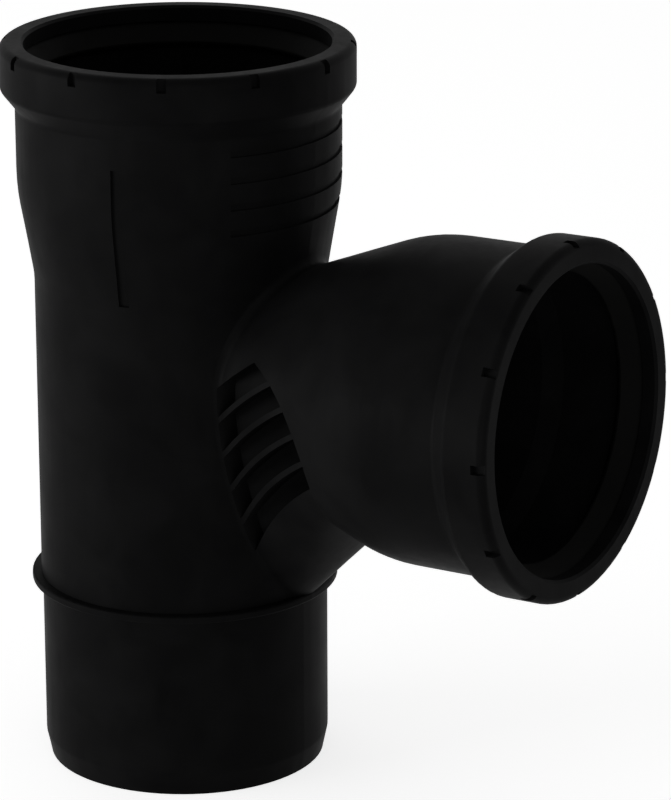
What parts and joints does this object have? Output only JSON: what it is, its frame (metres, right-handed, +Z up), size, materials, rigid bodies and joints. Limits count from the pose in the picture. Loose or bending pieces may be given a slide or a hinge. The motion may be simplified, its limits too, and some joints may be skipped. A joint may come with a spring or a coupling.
{
  "type": "drain pipe branch",
  "caption": "Push-fit drain branch: an upright run with spigot and stop ring below and a flared ring-seal socket on top, and a ribbed, swept throat leading to a ring-seal side socket.",
  "frame": {"origin": "centre of the spigot's end face, on the axis of the run", "axes": "+Z up along the run, +X towards the branch, which rises 1.5 degrees from the horizontal"},
  "size_m": [0.243, 0.1336, 0.282],
  "materials": {
    "body": "satin moulded black",
    "seal": "matt black rubber"
  },
  "bodies": {
    "root": {"branch_body": "body", "run_socket_seal": "seal", "branch_socket_seal": "seal"}
  },
  "joints": []
}
